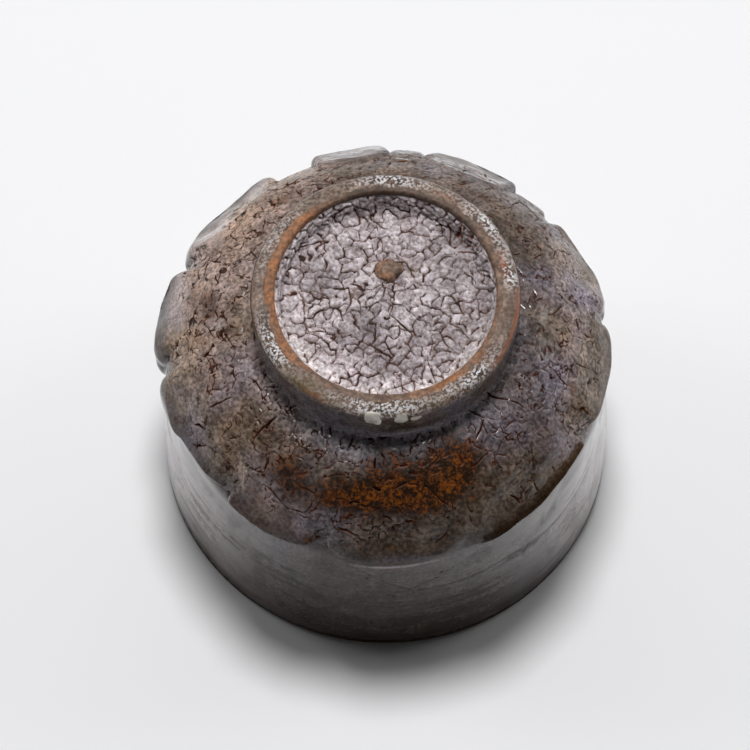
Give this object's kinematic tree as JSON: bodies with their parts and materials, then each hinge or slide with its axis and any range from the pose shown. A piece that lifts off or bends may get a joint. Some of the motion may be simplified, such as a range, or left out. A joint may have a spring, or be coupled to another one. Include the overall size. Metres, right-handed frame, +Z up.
{
  "type": "sake cup",
  "caption": "Small thrown sake cup with a carved petal ridge, a high foot ring and crawled grey glaze, standing on its lip.",
  "frame": {"origin": "on the cup's axis, at the surface that its lip stands on, because it is pictured and modelled mouth-down", "axes": "+Z up the axis and out of the foot ring, -Y towards the side with the pointed petal and the white beads of glaze, which the picture shows in front; turned half a turn about X the cup stands on its foot"},
  "size_m": [0.063, 0.063, 0.0492],
  "materials": {
    "fired_clay": "bare rust-orange to dark brown stoneware, rough",
    "outer_glaze": "crawled grey-taupe glaze with dark cracks, satin and smooth on the lower wall",
    "inner_glaze": "smooth grey-taupe glaze with a fine craze",
    "well_glaze": "pale lilac-grey glaze shrunk into small glossy plates",
    "tread_glaze": "thin sparkling glaze over brown clay",
    "white_glaze": "thick glossy off-white glaze"
  },
  "bodies": {
    "root": {"stoneware_body": "fired_clay", "outer_glaze": "outer_glaze", "inner_glaze": "inner_glaze", "foot_well_glaze": "well_glaze", "tread_glaze": "tread_glaze", "left_bead": "white_glaze", "middle_bead": "white_glaze", "right_bead": "white_glaze"}
  },
  "joints": []
}
